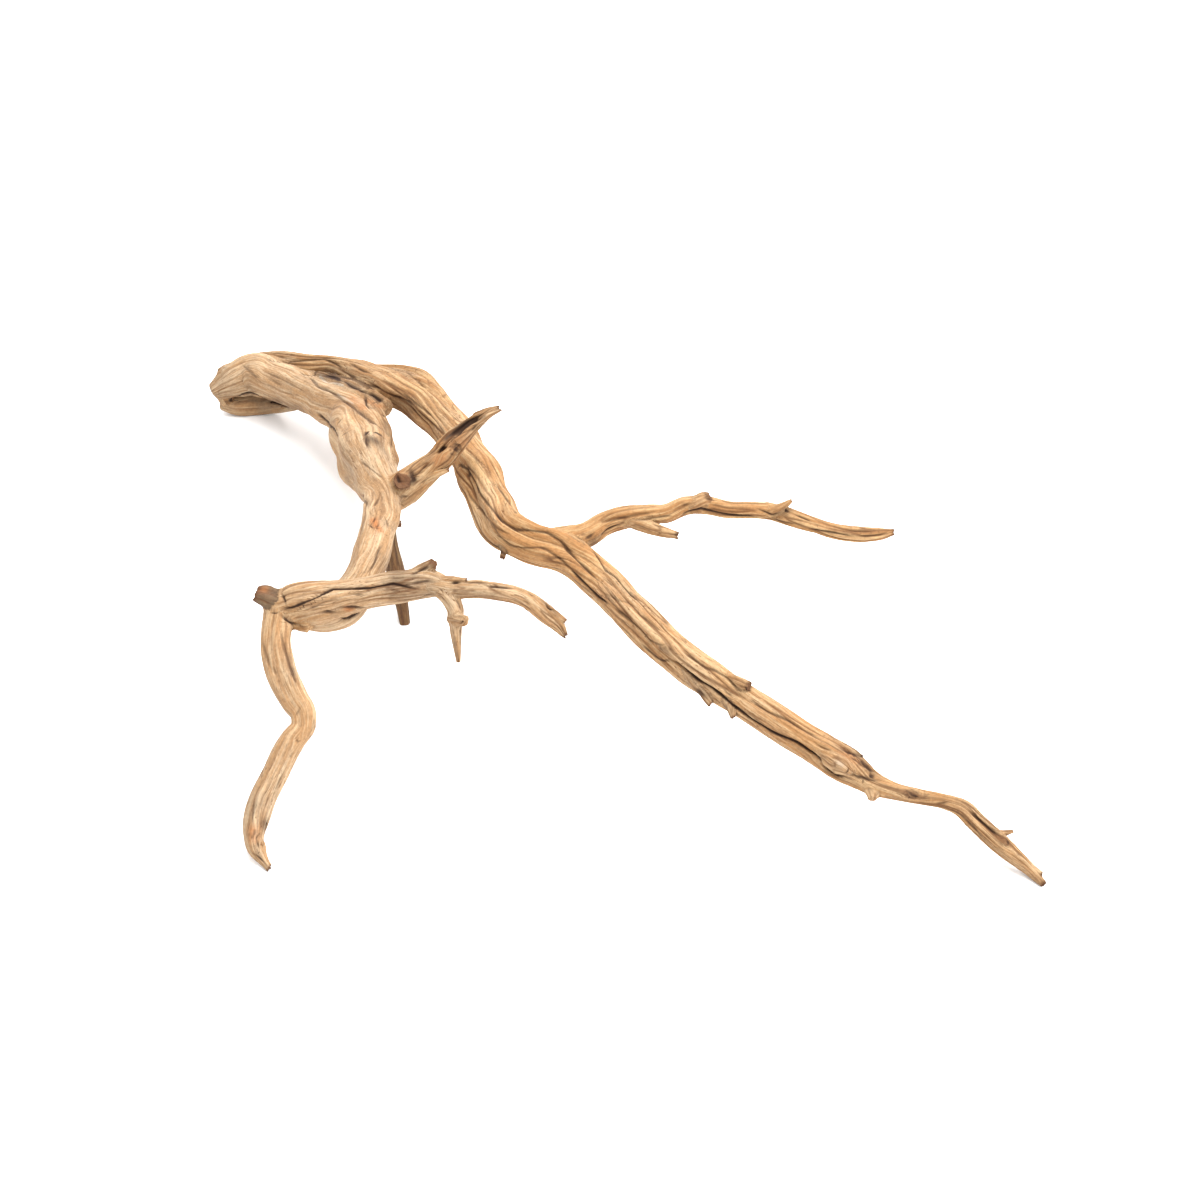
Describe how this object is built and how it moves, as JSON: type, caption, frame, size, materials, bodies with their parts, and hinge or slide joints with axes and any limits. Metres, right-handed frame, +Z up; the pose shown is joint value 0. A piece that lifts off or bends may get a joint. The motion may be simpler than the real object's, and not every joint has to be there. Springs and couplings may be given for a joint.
{
  "type": "piece of driftwood",
  "caption": "Weathered forked driftwood branch: a thick butt, an arching limb with a side branch, a trunk with a cross limb, a leg and broken twigs, lying on a table.",
  "frame": {"origin": "on the table, under the middle of the branch's box", "axes": "+Z up from the table, +X to the viewer's right along the longest side of the box, +Y away from the viewer towards the thick butt"},
  "size_m": [0.5125, 0.5066, 0.1247],
  "materials": {
    "weathered_wood": "dry, sandblasted bare wood, matt, with dark drying cracks"
  },
  "bodies": {
    "root": {"driftwood": "weathered_wood"}
  },
  "joints": []
}
